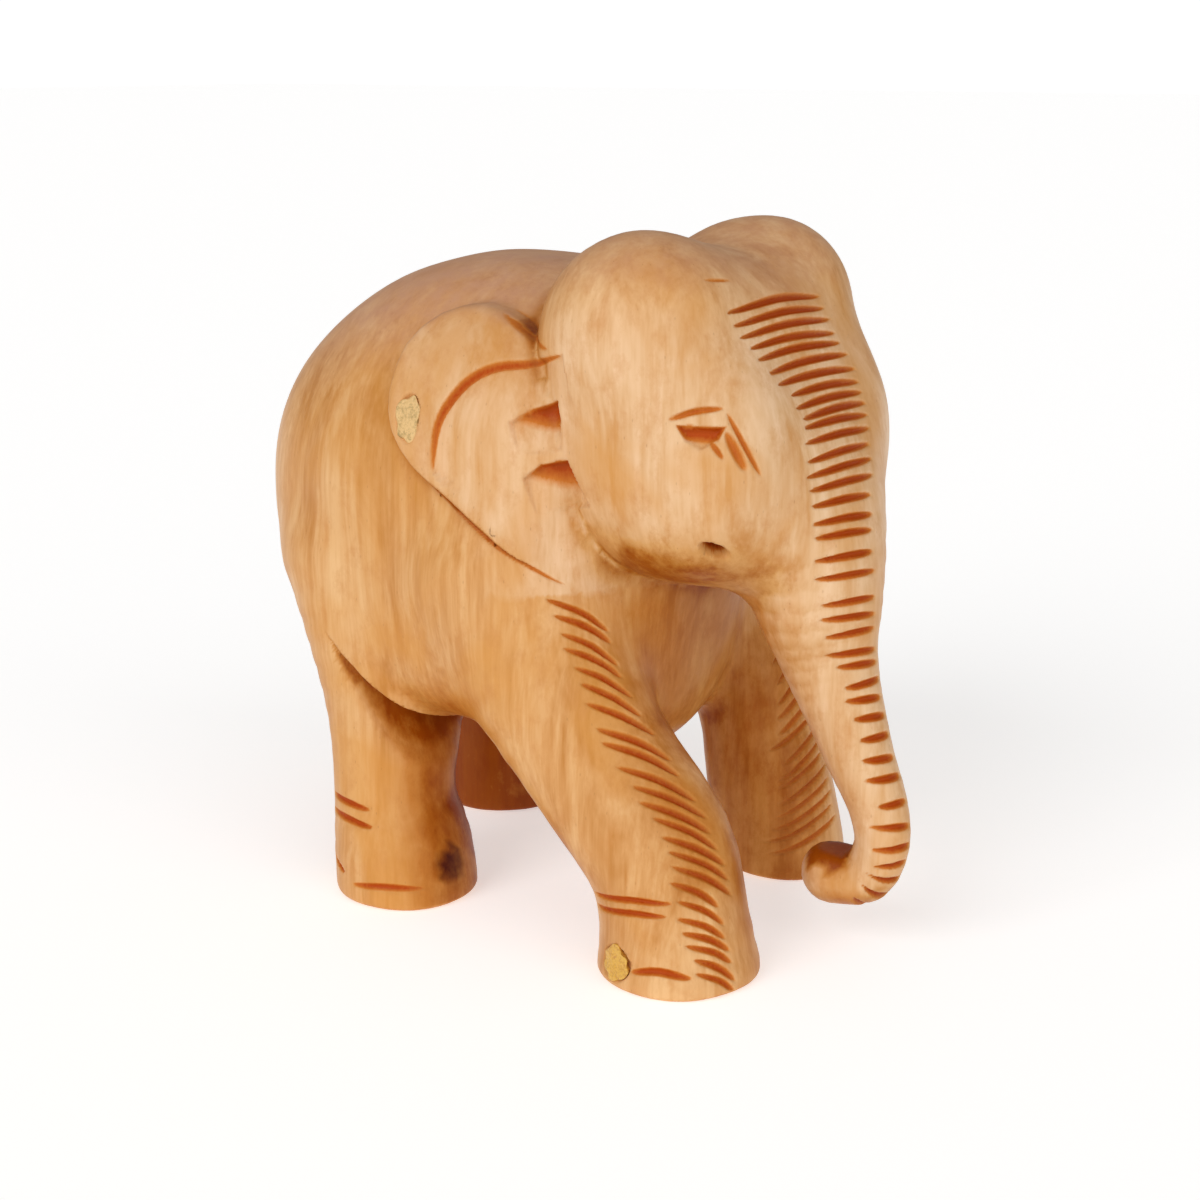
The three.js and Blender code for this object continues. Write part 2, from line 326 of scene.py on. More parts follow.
def surfaceNet(values, low, spacing):
    # one vertex in each cell that the surface crosses, one quad round each crossed grid edge
    inside = values < 0
    shape = np.array(values.shape) - 1
    corners = [(i, j, k) for i in (0, 1) for j in (0, 1) for k in (0, 1)]

    def shifted(a, c):
        return a[c[0]:shape[0] + c[0], c[1]:shape[1] + c[1], c[2]:shape[2] + c[2]]

    total = sum(shifted(inside, c).astype(np.int8) for c in corners)
    cells = np.argwhere((total > 0) & (total < 8))
    number = np.full(shape, -1, int)
    number[tuple(cells.T)] = np.arange(len(cells))
    at = {c: values[tuple((cells + c).T)] for c in corners}
    place = np.zeros((len(cells), 3))
    hits = np.zeros(len(cells))
    for a in corners:
        for axis in range(3):
            if a[axis]:
                continue
            b = tuple(v + (n == axis) for n, v in enumerate(a))
            cross = (at[a] < 0) != (at[b] < 0)
            t = at[a] / np.where(cross, at[a] - at[b], 1)
            spot = np.array(a, float) + t[:, None] * (np.array(b) - a)
            place += np.where(cross[:, None], spot, 0)
            hits += cross
    vertices = (cells + place / hits[:, None]) * spacing + low
    quads = []
    for axis in range(3):
        u, v = (axis + 1) % 3, (axis + 2) % 3
        first = np.take(inside, range(shape[axis]), axis)
        second = np.take(inside, range(1, shape[axis] + 1), axis)
        edges = np.argwhere(first != second)
        leaving = first[tuple(edges.T)]
        ring = []
        for du, dv in ((0, 0), (-1, 0), (-1, -1), (0, -1)):
            cell = edges.copy()
            cell[:, u] += du
            cell[:, v] += dv
            ring.append(number[tuple(cell.T)])
        ring = np.column_stack(ring)
        ring[~leaving] = ring[~leaving][:, ::-1]
        quads.append(ring)
    quads = np.vstack(quads)
    return vertices, np.vstack([quads[:, [0, 1, 2]], quads[:, [0, 2, 3]]])


def sloped(p, gap=0.12):
    # distance at each point and the direction in which it grows, from four samples round it
    corners = np.array([(1, -1, -1), (-1, -1, 1), (-1, 1, -1), (1, 1, 1)], float)
    samples = [inParts(carvedForm, p + c * gap) for c in corners]
    way = sum(c * d[:, None] for c, d in zip(corners, samples)) / (4 * gap)
    return sum(samples) / 4, way


def settled(p, rounds):
    # moves each vertex along the slope until it lies on the surface
    for _ in range(rounds):
        d, way = sloped(p)
        step = np.clip(d / np.maximum((way * way).sum(1), 0.3), -0.6, 0.6)
        p = p - way * step[:, None]
    return p


def unit(v):
    # each row at length 1
    return v / np.maximum(np.linalg.norm(v, axis=1), 1e-9)[:, None]


def split(vertices, triangles, chosen):
    # chosen triangles become four, and their neighbours are cut to match
    edges = np.sort(triangles[:, [0, 1, 1, 2, 2, 0]].reshape(-1, 2), axis=1)
    lines, where = np.unique(edges, axis=0, return_inverse=True)
    where = where.reshape(-1, 3)
    cut = np.zeros(len(lines), bool)
    while True:
        cut[where[chosen].ravel()] = True
        more = (cut[where].sum(1) > 1) & ~chosen
        if not more.any():
            break
        chosen = chosen | more
    new = np.full(len(lines), -1)
    new[cut] = len(vertices) + np.arange(cut.sum())
    vertices = np.vstack([vertices, vertices[lines[cut]].mean(1)])
    a, b, c = triangles[chosen].T
    ab, bc, ca = new[where[chosen]].T
    parts = [np.column_stack(t) for t in ((a, ab, ca), (ab, b, bc), (ca, bc, c), (ab, bc, ca))]
    single = (cut[where].sum(1) == 1) & ~chosen
    for side in range(3):
        pick = single & cut[where[:, side]]
        a, b, c = (triangles[pick][:, (side + n) % 3] for n in range(3))
        mid = new[where[pick][:, side]]
        parts += [np.column_stack((a, mid, c)), np.column_stack((mid, b, c))]
    parts.append(triangles[~chosen & ~single])
    return vertices, np.vstack(parts)


# Each mark is drawn on a flat view of the figure: "front" is (x, z), "side" is (y, z),
# "trunk" is (x, way down the trunk) and "cheek" is (across the face from behind, z).
# side is -1 for the right of the figure, 1 for the left and 0 for both, mirrored.
trunkMarks = {
    "rows": [90.4, 88.8, 87.3, 85.7, 84.3, 82.6, 80.9, 79.3, 77.8, 76.4, 75.1, 73.3, 71.2,
             69.3, 67.4, 65.3, 62.9, 61, 58, 55.4, 51.7, 49.5, 47.2, 44.3, 42.5, 39.8, 37.7,
             35.2, 32.5, 29.6, 27, 23.5, 20.3, 17.2, 14.6, 11.8, 8.6, 5.5],
    "heights": [8, 25, 40, 47, 55, 64, 69, 76, 79.5, 81, 91],
    "right": [-3.8, -3.5, -4.8, -6.9, -8.9, -10, -10, -8.6, -8.6, -11.2, -15.6],
    "left": [1, 1, 1.6, 0.8, -0.3, 1.5, 5.5, 8.4, 8.4, 8.4, 7.2],
    "half": 0.56,
    "depth": 0.75,
    "curl": (-49.5, 15),
    "curlRadius": 7,
}
legMarks = {
    "rightRows": [51.5, 49.4, 47, 45.1, 42.6, 40.5, 38, 34.8, 33.1, 30.1, 27.8, 25.9, 24, 21.7,
                  19.9, 18, 15.9, 13.5, 11.3, 9.4, 7.7, 5.8, 4],
    "rightStart": -26.4,
    "rightEnd": -19.9,
    "leftRows": [42.8, 39.6, 36.4, 33.4, 30.6, 28.4, 26.2, 24.2, 22.2, 20.2, 18.4, 16.4, 14.4,
                 12.4, 10.4, 8.4],
    "leftHeights": [8, 20, 30, 44],
    "leftStart": [24, 24.5, 25.5, 27],
    "leftEnd": [13.4, 14.4, 17, 21],
    "drop": 4.9,
    "footDrop": 3.6,
    "footBelow": 17,
    "leftDrop": 3.9,
    "arch": 0.45,
    "half": 0.55,
    "depth": 0.65,
}
rng = np.random.default_rng(7)
marks = []
chips = []


def addMark(view, side, points, half, depth, arch=0.0, tone=1.0):
    # one knife cut along a smooth line; a cut of two points bows upwards by the arch
    points = np.array(points, float)
    if len(points) == 2:
        run = points[1] - points[0]
        across = np.array([-run[1], run[0]]) / np.hypot(*run)
        across *= 1 if across[1] > 0 else -1
        points = np.array([points[0], points.mean(0) + across * arch, points[1]])
    marks.append((view, side, smoothRows(points, 4), half, depth, tone))


def drawMarks():
    # cuts across the trunk, slanting cuts down the front legs, then the single cuts
    t = trunkMarks
    for z in t["rows"]:
        x0 = np.interp(z, t["heights"], t["right"]) + rng.uniform(-0.4, 0.4)
        x1 = np.interp(z, t["heights"], t["left"]) + rng.uniform(-0.4, 0.4)
        tilt = rng.uniform(-0.25, 0.15)
        grow = np.interp(z, [30, 60, 90], [1.1, 1.05, 0.92])
        addMark("trunk", 0, [(x0, z - tilt - 0.2), (x1, z + tilt - 0.2)], t["half"] * grow,
                t["depth"], arch=np.interp(z, [30, 60, 90], [0.15, 0.3, 0.7]))
    g = legMarks
    for z in g["rightRows"]:
        low = z < g["footBelow"]
        x0 = g["rightStart"] - (1.0 if low else 0) + rng.uniform(-0.3, 0.3)
        x1 = g["rightEnd"] - (2.5 if low else 0) + rng.uniform(-0.3, 0.3)
        drop = (g["footDrop"] if low else g["drop"]) + rng.uniform(-0.3, 0.3)
        addMark("front", -1, [(x0, z), (x1, z - drop)], g["half"] * rng.uniform(0.9, 1.1),
                g["depth"], arch=g["arch"], tone=0.8)
    for z in g["leftRows"]:
        x0 = np.interp(z, g["leftHeights"], g["leftStart"]) + rng.uniform(-0.6, 0.6)
        x1 = np.interp(z, g["leftHeights"], g["leftEnd"]) + rng.uniform(-0.8, 0.8)
        addMark("front", 1, [(x0, z), (x1, z - g["leftDrop"] + rng.uniform(-0.4, 0.4))],
                g["half"] * rng.uniform(0.8, 1.0), g["depth"] * 0.8, arch=g["arch"], tone=0.6)
    # ankle lines, sole grooves and toe marks
    addMark("side", -1, [(-23.5, 11.5), (-31, 13.1), (-36.4, 13.2)], 0.5, 0.6)
    addMark("side", -1, [(-23.5, 9.6), (-31, 11.3), (-36, 11.5)], 0.5, 0.6)
    addMark("side", 1, [(-16.5, 11.8), (-23, 13.1), (-28.4, 13)], 0.5, 0.6)
    addMark("side", 1, [(-16.5, 9.9), (-23, 11.3), (-28, 11.3)], 0.5, 0.6)
    addMark("side", -1, [(-32, 3.4), (-36, 4.2), (-39.8, 3.4)], 0.6, 0.5)
    for side, shift in ((-1, 0), (1, 12)):
        addMark("side", side, [(25 + shift, 15.2), (16.2 + shift, 14.9)], 0.6, 0.6, arch=0.3)
        addMark("side", side, [(24.8 + shift, 12.8), (15.4 + shift, 12.4)], 0.6, 0.6, arch=0.3)
        addMark("side", side, [(24.4 + shift, 5.6), (20.6 + shift, 4.4)], 0.5, 0.5)
        addMark("side", side, [(18.4 + shift, 3.3), (12.8 + shift, 3.9), (8.4 + shift, 3.6)],
                0.6, 0.5, tone=0.9)
    # brow line and the three cuts that fall from the eye
    addMark("cheek", 0, [(12.4, 77.3), (15.8, 78.5), (19.4, 78.9)], 0.5, 0.6, tone=0.6)
    addMark("cheek", 0, [(17.6, 75), (19.4, 72.6)], 0.45, 0.5, tone=0.55)
    addMark("cheek", 0, [(19.7, 76), (22.3, 71)], 0.75, 0.6, tone=0.55)
    addMark("cheek", 0, [(19.9, 78.3), (24.3, 70.2)], 0.4, 0.5, tone=0.6)
    # rim of the ear, its lower edge and one light scratch on the forehead
    addMark("side", 0, ear["lobe"], 0.55, 0.8, tone=0.8)
    addMark("side", 0, [(5.2, 67.6), (-0.7, 63.7), (-7.5, 59.3), (-16.4, 53.3)], 0.36, 0.45,
            tone=0.7)
    addMark("side", 0, [(-3.5, 88.6), (-10.6, 85.3), (-14.5, 84.9)], 0.5, 0.15, tone=0.5)
    addMark("front", -1, [(-16.5, 94.2), (-11.6, 93.9)], 0.3, 0.15, tone=0.4)
    # chips: (view, side, outline, shallow point, deep point, depth, tone)
    chips.append(("side", 0, [(-9.3, 75.2), (-12, 77), (-15.4, 78.2), (-16, 71.5), (-11.1, 70.9)],
                  (-11.9, 70.5), (-13.6, 77.2), 1.7, 0.9))
    chips.append(("side", 0, [(-11.4, 67.6), (-13.6, 69.6), (-17, 70.4), (-20.2, 64.2),
                              (-13, 62.7)], (-13.6, 62.3), (-15.8, 69.6), 1.7, 0.9))
    chips.append(("cheek", 0, [(13.2, 76.8), (19.9, 76.7), (18.9, 74.9), (16.6, 73.7),
                               (14.4, 74.8)], (16.4, 72.6), (16.6, 75.8), 1.2, 0.9))


drawMarks()
# the cheek is seen from the outer front corner: these are the shares of x and y across it
faceTurn = (0.585, 0.811)


def flatView(view, side, p, n):
    # where a point is on a flat view, and whether its surface faces that view
    x = p[:, 0]
    mirrored = np.abs(x) if side == 0 else x * side
    facing = (mirrored > 0) | (view == "trunk")
    if view == "front":
        # marks on one side keep their own x
        ahead = (n[:, 1] < -0.12) & (p[:, 1] < 4 - 0.3 * p[:, 2])
        return np.column_stack([x if side else -mirrored, p[:, 2]]), facing & ahead
    if view == "side":
        outward = n[:, 0] * np.sign(x)
        return p[:, 1:], facing & (outward > 0.15) & (mirrored > 10)
    if view == "cheek":
        across = -faceTurn[0] * mirrored - faceTurn[1] * p[:, 1]
        return np.column_stack([across, p[:, 2]]), facing & (n[:, 1] < 0.1) & (p[:, 2] > 60)
    cy, cz = trunkMarks["curl"]
    turn = np.arctan2(cz - p[:, 2], -(p[:, 1] - cy))
    down = np.where(p[:, 2] > cz, p[:, 2], cz - trunkMarks["curlRadius"] * turn)
    outer = (p[:, 1] - cy) * n[:, 1] + (p[:, 2] - cz) * n[:, 2] > 0
    facing = np.where(p[:, 2] > cz, n[:, 1] < -0.12, outer & (p[:, 1] < cy + 2))
    ahead = p[:, 1] < -30 + 0.2 * (p[:, 2] - 60)
    return np.column_stack([x, down]), facing & ahead & (np.abs(x) < 20)


def knifeMarks(p, n):
    # depth of the cut, how strongly it is stained, and the distance to the nearest mark
    depth = np.zeros(len(p))
    stain = np.zeros(len(p))
    near = np.full(len(p), 9.0)
    views = {}
    for view, side, line, half, deep, tone in marks:
        if (view, side) not in views:
            views[view, side] = flatView(view, side, p, n)
        q, facing = views[view, side]
        low, high = line.min(0) - 2.5, line.max(0) + 2.5
        pick = np.where(facing & (q > low).all(1) & (q < high).all(1))[0]
        best, along = nearLine(q[pick], line)
        taper = np.clip(4 * along * (1 - along), 0.02, 1) ** 0.33
        wide = half * taper
        inner = np.clip(1 - (best / wide) ** 2, 0, 1)
        depth[pick] = np.maximum(depth[pick], deep * taper * inner)
        stain[pick] = np.maximum(stain[pick], tone * taper * np.clip(1.25 - best / wide, 0, 1))
        near[pick] = np.minimum(near[pick], best - wide)
    for view, side, outline, shallow, lowest, deep, tone in chips:
        q, facing = flatView(view, side, p, n)
        d = insideLine(q, np.array(outline, float))
        fall = np.array(lowest, float) - shallow
        t = np.clip((q - shallow) @ fall / (fall @ fall), 0, 1)
        cut = np.where(facing, np.minimum(np.clip(-d * 2.2, 0, deep), deep * t), 0)
        depth = np.maximum(depth, cut)
        stain = np.maximum(stain, tone * ramp(0.15, -0.5, d) * ramp(0.45, 1.0, t) * facing)
        near = np.where(facing, np.minimum(near, np.abs(d)), near)
    return depth, stain, near


footPlug = {"centre": (-30.3, -28.9, 3.6), "radii": (2.2, 3.1, 2.6), "lumps": 0.14, "wave": 1.0,
            "pale": (222, 172, 70), "dark": (186, 124, 44), "roughness": 0.35}
earPlug = {"centre": (-29.8, 5.4, 74), "radii": (2.2, 2.2, 4), "lumps": 0.13, "wave": 2.2,
           "pale": (224, 184, 122), "dark": (168, 138, 80), "roughness": 0.4}
mouth = {"centre": (20.0, -37.4, 60.1), "radius": 1.0, "depth": 3.4, "stretch": 2.2, "turn": -0.5}


def pocketDepth(p):
    # the shallow seats of the two fillers and the slit at each corner of the mouth
    depth = np.zeros(len(p))
    near = np.full(len(p), 9.0)
    for plug in (footPlug, earPlug):
        d = block(p, (plug["centre"], plug["radii"], 2.0))
        depth = np.maximum(depth, 0.8 * ramp(0.05, -0.5, d))
        near = np.minimum(near, np.abs(d))
    m = np.column_stack([np.abs(p[:, 0]), p[:, 1:]])
    spot = m - np.array(mouth["centre"])
    across = -faceTurn[0] * spot[:, 0] - faceTurn[1] * spot[:, 1]
    off = faceTurn[1] * spot[:, 0] - faceTurn[0] * spot[:, 1]
    c, s = math.cos(mouth["turn"]), math.sin(mouth["turn"])
    long = (across * c + spot[:, 2] * s) / mouth["stretch"]
    short = -across * s + spot[:, 2] * c
    d = np.sqrt(long ** 2 + short ** 2 + (0.5 * off) ** 2) - mouth["radius"]
    depth = np.maximum(depth, mouth["depth"] * ramp(0.2, -0.7, d))
    return depth, np.minimum(near, np.abs(d))


def earDish(p):
    # the inner ear is hollowed below the curved step of its rim, and fades out to the front
    line = np.vstack([lobeLine, [(-10, 60), (-20, 66)]])
    q = p[:, 1:]
    inside = insideLine(q, line) < 0
    away = nearLine(q, lobeLine)[0]
    return (ear["dish"] * np.exp(-away / ear["dishWidth"]) * inside * ramp(15, 18, np.abs(p[:, 0]))
            * ramp(0, 0.5, away) * ramp(60, 68, p[:, 2]))


def reliefNear(p):
    # distance to the edges of ears, flanks and soles, where the mesh has to be finer
    y, edge = foldEdge(p)
    under = (y > 0) & (y < fold["back"]) & (np.abs(p[:, 0]) > fold["sideways"][0])
    lip = np.where(under, np.abs(edge - fold["lip"] / 2 - p[:, 2]), 9.0)
    beside = np.minimum(np.abs(insideLine(p[:, 1:], earLine)), lip)
    beside = np.where(np.abs(p[:, 0]) > ear["innerX"], beside, 9.0)
    rim = (p[:, 2] > 0.02) & (p[:, 2] < 0.7)
    return np.where(rim, np.minimum(beside, 0.9), beside)


def toolFacets(p):
    # broad shallow facets left by the knife, as a sum of slow waves
    x, y, z = p.T
    wave = (np.sin(x / 3.1 + 1.7 * np.sin(z / 8.3)) * np.sin(y / 3.7 + 1.3 * np.sin(z / 6.9 + 1))
            + 0.6 * np.sin(z / 4.3 + y / 5.9 + 2 * np.sin(x / 7.7)))
    return 0.12 * wave


def makeBody():
    # the net round the form, refined at marks and edges, then cut in along its own normals
    low = np.array(mesh["low"])
    values = sampledField(low, np.array(mesh["high"]), mesh["spacing"])
    vertices, triangles = surfaceNet(values, low, mesh["spacing"])
    vertices = settled(vertices, 2)
    print("body net", len(vertices), "vertices")
    for limit, relief in mesh["refine"]:
        n = unit(sloped(vertices)[1])
        near = np.minimum(knifeMarks(vertices, n)[2], pocketDepth(vertices)[1])
        near = np.where(reliefNear(vertices) < relief, 0, near)
        chosen = (near[triangles] < limit).any(1)
        count = len(vertices)
        vertices, triangles = split(vertices, triangles, chosen)
        vertices[count:] = settled(vertices[count:], 2)
        print("refined to", len(triangles), "triangles")
    n = unit(sloped(vertices)[1])
    depth, stain = knifeMarks(vertices, n)[:2]
    pocket = pocketDepth(vertices)[0]
    dish = earDish(vertices)
    stain = np.maximum(stain, 0.95 * ramp(1.0, 2.2, pocket))
    # how closed in each point is, which sets the painted shade in hollows
    hollow = sum(np.clip(1 - inParts(carvedForm, vertices + n * s) / s, 0, 1)
                 for s in mesh["hollowSteps"]) / len(mesh["hollowSteps"])
    facet = toolFacets(vertices)
    carved = vertices - n * (np.maximum(depth, pocket) + dish - facet)[:, None]
    onSole = vertices[:, 2] < 0.02
    carved[:, 2] = np.maximum(np.where(onSole, vertices[:, 2], carved[:, 2]), 0)
    return vertices, carved, triangles, n, stain, paintedShadeAndStain(vertices, n, hollow)


# how strong the painted shade is in each place (inner and under sides, chest, hind-leg fronts,
# folds, hollows), with the jaw's darker band and real stain at the trunk tip and right foreleg,
# and the ranges over which each comes in
shadeAndStainPlaces = {
    "inner": {"fore": 0.52, "hind": 1.15, "hindFrom": 5, "facing": (0.3, -0.75),
              "below": (52, 42), "beside": (2, 8)},
    "behind": {"strength": 0.55, "facing": (-0.6, -0.98), "along": (-4, 2), "below": (46, 36)},
    "chest": {"strength": 0.36, "facing": (-0.2, -0.8), "below": (58, 50), "within": (20, 14),
              "frontEnd": -30},
    "under": {"strength": 0.55, "facing": (-0.1, -0.75), "above": (2, 5)},
    "fold": {"strength": 1.0, "depth": (0.05, 2.2)},
    "hollow": {"strength": 0.85, "closed": (0.18, 0.75)},
    "jaw": {"strength": 0.9, "below": (60.4, 55.8), "above": (52, 54), "middle": 17,
            "from": (4, 8), "to": (21, 18.5), "bendAbove": 58, "frontOf": -18},
    "tip": {"strength": 1.05, "above": (12.2, 13.4), "below": 16, "behind": (-49.8, -48.4),
            "frontOf": -38, "within": 7},
    "foreleg": {"strength": 0.3, "inwards": (-16, -20), "above": (10, 16), "below": (36, 26),
                "frontOf": -20, "facing": (-0.3, -0.8)},
}


# painted shade on inner and under sides, the chest, in hollows and folds and on the front of the
# hind legs, with a darker band at the jaw and real stain at the trunk tip and on the right foreleg
def paintedShadeAndStain(p, n, hollow):
    # where the stain has gathered: inner and under sides, hollows, the front of the hind legs
    x, y, z = p.T
    side = np.abs(x)
    # slow waves keep the edges of the painted shade on the inner sides from running straight
    sway = 0.22 * np.sin(0.31 * z + 0.8 * np.sin(0.23 * y)) + 0.12 * np.sin(0.9 * z + 0.5 * y)
    at = shadeAndStainPlaces["inner"]
    strength = np.where(y < at["hindFrom"], at["fore"], at["hind"])
    inner = strength * ramp(*at["facing"], n[:, 0] * np.sign(x) + sway) * ramp(
        *at["below"], z) * ramp(*at["beside"], side)
    at = shadeAndStainPlaces["behind"]
    behind = at["strength"] * ramp(*at["facing"], n[:, 1]) * ramp(*at["along"], y) * ramp(
        *at["below"], z)
    at = shadeAndStainPlaces["chest"]
    chest = at["strength"] * ramp(*at["below"], z) * ramp(*at["facing"], n[:, 1]) * ramp(
        *at["within"], side) * (y > at["frontEnd"])
    at = shadeAndStainPlaces["under"]
    under = at["strength"] * ramp(*at["facing"], n[:, 2]) * ramp(*at["above"], z)
    at = shadeAndStainPlaces["fold"]
    folds = at["strength"] * ramp(*at["depth"], foldDepth(p))
    at = shadeAndStainPlaces["hollow"]
    nearby = at["strength"] * ramp(*at["closed"], hollow)
    at = shadeAndStainPlaces["jaw"]
    across = -faceTurn[0] * side - faceTurn[1] * y
    bend = 0.6 * (at["bendAbove"] - z) * (z > at["bendAbove"])
    jaw = at["strength"] * ramp(*at["below"], z - 0.25 * np.abs(across - at["middle"])) * ramp(
        *at["above"], z) * ramp(*at["from"], across) * ramp(*at["to"], across + bend) * (
        y < at["frontOf"])
    at = shadeAndStainPlaces["tip"]
    ragged = z + 0.5 * np.sin(1.7 * y) + 0.3 * np.sin(2.9 * x)
    tip = at["strength"] * ramp(*at["above"], ragged) * (z < at["below"]) * ramp(
        *at["behind"], y) * (y < at["frontOf"]) * (side < at["within"])
    at = shadeAndStainPlaces["foreleg"]
    honeyed = at["strength"] * ramp(*at["inwards"], x) * ramp(*at["above"], z) * ramp(
        *at["below"], z) * (y < at["frontOf"]) * (x < 0) * ramp(*at["facing"], n[:, 1])
    patches = [inner, behind, chest, under, folds, nearby, jaw, tip, honeyed]
    return np.clip(np.max(patches, axis=0), 0, 1.1)


# the palest wood, and the tops that take a painted shade and sheen, as ranges in the figure's
# units
tonePlaces = {
    "earWithin": (1, -2),
    "earSide": (15, 20),
    "headFront": (-12, -20),
    "headAbove": (36, 44),
    "headFloor": 52,
    "domeFade": (97, 84),
    "trunkFront": -38,
    "trunkHalf": 14,
    "topFacing": (0.35, 0.85),
    "topAbove": (60, 75),
    "topBack": (-15, 5),
}


def paleWoodAndTopShade(p, n):
    # the head, trunk and ears are the palest wood; the tops get a darker, cooler painted shade and
    # sheen
    x, y, z = p.T
    at = tonePlaces
    m = np.column_stack([np.abs(x), y, z])
    earPart = ramp(*at["earWithin"], insideLine(m[:, 1:], earLine)) * ramp(
        *at["earSide"], np.abs(x))
    lean = 0.35 * (z - 70) * (z < 70)
    headPart = ramp(*at["headFront"], y + lean) * ramp(*at["headAbove"], z)
    headPart = headPart * ramp(*at["domeFade"], z) * (z > at["headFloor"])
    trunkPart = (y < at["trunkFront"]) & (np.abs(x) < at["trunkHalf"])
    pale = np.max([earPart, headPart, trunkPart], axis=0)
    top = ramp(*at["topFacing"], n[:, 2]) * (1 - earPart * 0.7) * ramp(*at["topAbove"], z)
    return np.clip(pale, 0, 1), top * (0.7 + 0.5 * ramp(*at["topBack"], y))


def placeInFrame(formLow, formHigh):
    # the drawing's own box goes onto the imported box, at one scale
    scale = (cadHigh.z - cadLow.z) / (formHigh[2] - formLow[2])
    centre = (np.array(cadLow) + np.array(cadHigh)) / 2
    middle = (formLow + formHigh) / 2

    def toFrame(p):
        q = (np.asarray(p, float) - middle) * scale
        return q + centre

    return toFrame, scale


def addAttribute(piece, name, values):
    layer = piece.attributes.new(name, "FLOAT", "POINT")
    layer.data.foreach_set("value", np.asarray(values, np.float32))


def makePiece(name, vertices, faces, smooth=True):
    data = bpy.data.meshes.new(name)
    data.vertices.add(len(vertices))
    data.vertices.foreach_set("co", np.asarray(vertices, np.float32).ravel())
    faces = np.asarray(faces, np.int32)
    data.loops.add(faces.size)
    data.loops.foreach_set("vertex_index", faces.ravel())
    data.polygons.add(len(faces))
    data.polygons.foreach_set("loop_start", np.arange(len(faces), dtype=np.int32) * faces.shape[1])
    data.update(calc_edges=True)
    data.polygons.foreach_set("use_smooth", np.full(len(faces), smooth))
    data.validate()
    piece = bpy.data.objects.new(name, data)
    bpy.context.scene.collection.objects.link(piece)
    return piece


def nodesOf(name):
    material = bpy.data.materials.new(name)
    material.use_nodes = True
    tree = material.node_tree
    return material, tree, tree.nodes["Principled BSDF"]


def node(tree, kind, inputs=None, **values):
    made = tree.nodes.new(kind)
    for key, value in values.items():
        setattr(made, key, value)
    for key, value in (inputs or {}).items():
        if isinstance(value, bpy.types.NodeSocket):
            tree.links.new(value, made.inputs[key])
        else:
            made.inputs[key].default_value = value
    return made


def linear(r, g, b):
    # an everyday 0-255 colour as the scene's linear values
    def one(c):
        c = c / 255
        return c / 12.92 if c <= 0.04045 else ((c + 0.055) / 1.055) ** 2.4
    return (one(r), one(g), one(b), 1.0)


def colourRamp(tree, factor, stops):
    made = node(tree, "ShaderNodeValToRGB", {"Fac": factor})
    elements = made.color_ramp.elements
    while len(elements) < len(stops):
        elements.new(0.5)
    for element, (position, colour) in zip(elements, stops):
        element.position = position
        element.color = colour if len(colour) == 4 else linear(*colour)
    return made.outputs["Color"]


def mixed(tree, factor, a, b, mode="MIX"):
    made = node(tree, "ShaderNodeMix", data_type="RGBA", blend_type=mode)
    for socket, value in ((made.inputs[0], factor), (made.inputs[6], a), (made.inputs[7], b)):
        if isinstance(value, bpy.types.NodeSocket):
            tree.links.new(value, socket)
        else:
            socket.default_value = value
    return made.outputs[2]


def maths(tree, operation, a, b=0.0, clamp=False):
    made = node(tree, "ShaderNodeMath", {0: a, 1: b}, operation=operation, use_clamp=clamp)
    return made.outputs[0]


def noise(tree, place, scale, detail=4.0, rough=0.55, twist=0.0):
    made = node(tree, "ShaderNodeTexNoise", {"Vector": place, "Scale": scale, "Detail": detail,
                                             "Roughness": rough, "Distortion": twist})
    return made.outputs["Fac"]


def stretched(tree, place, scale, shift=(0, 0, 0)):
    made = node(tree, "ShaderNodeMapping", {"Vector": place, "Scale": scale, "Location": shift})
    return made.outputs["Vector"]


wood = {
    "pale": (228, 182, 128),
    "middle": (213, 158, 100),
    "warm": (192, 130, 66),
    "paleLight": (234, 196, 156),
    "paleMiddle": (224, 182, 137),
    "paleWarm": (208, 154, 98),
    "honey": (208, 142, 62),
    "rose": (200, 136, 74),
    # painted shade and sheen for upward-facing tops
    "topShadeSheenColour": (203, 152, 124),
    # how much red, green and blue are let through as the painted shade and the stain thicken
    "stain": [(0.0, (1, 1, 1, 1)), (0.35, (0.82, 0.66, 0.4, 1)), (0.7, (0.62, 0.38, 0.12, 1)),
              (1.0, (0.44, 0.17, 0.012, 1))],
    "cutEdge": (204, 126, 48),
    "cutFloor": (174, 70, 5),
    # cut floor colour where the painted shade and stain are strong
    "cutShadeStainDark": (110, 42, 4),
    "knot": (74, 20, 6),
    "roughness": 0.36,
    "coat": 0.0,
    "coatRoughness": 0.25,
    "specular": 0.13,
    # how many times each pattern repeats in a millimetre along x, y and z
    "fibre": (1.3, 1.3, 0.06),
    "streak": (0.17, 0.17, 0.014),
    "broad": (0.09, 0.09, 0.03),
    "patch": (0.05, 0.05, 0.03),
    "mottle": (0.3, 0.3, 0.2),
    "fineFibre": (2.6, 2.6, 1.4),
    "pores": (0.9, 0.9, 0.35),
    "poreColour": (150, 95, 50),
    "bumpDistance": 0.0002,
}
millimetres = (1000, 1000, 1000)


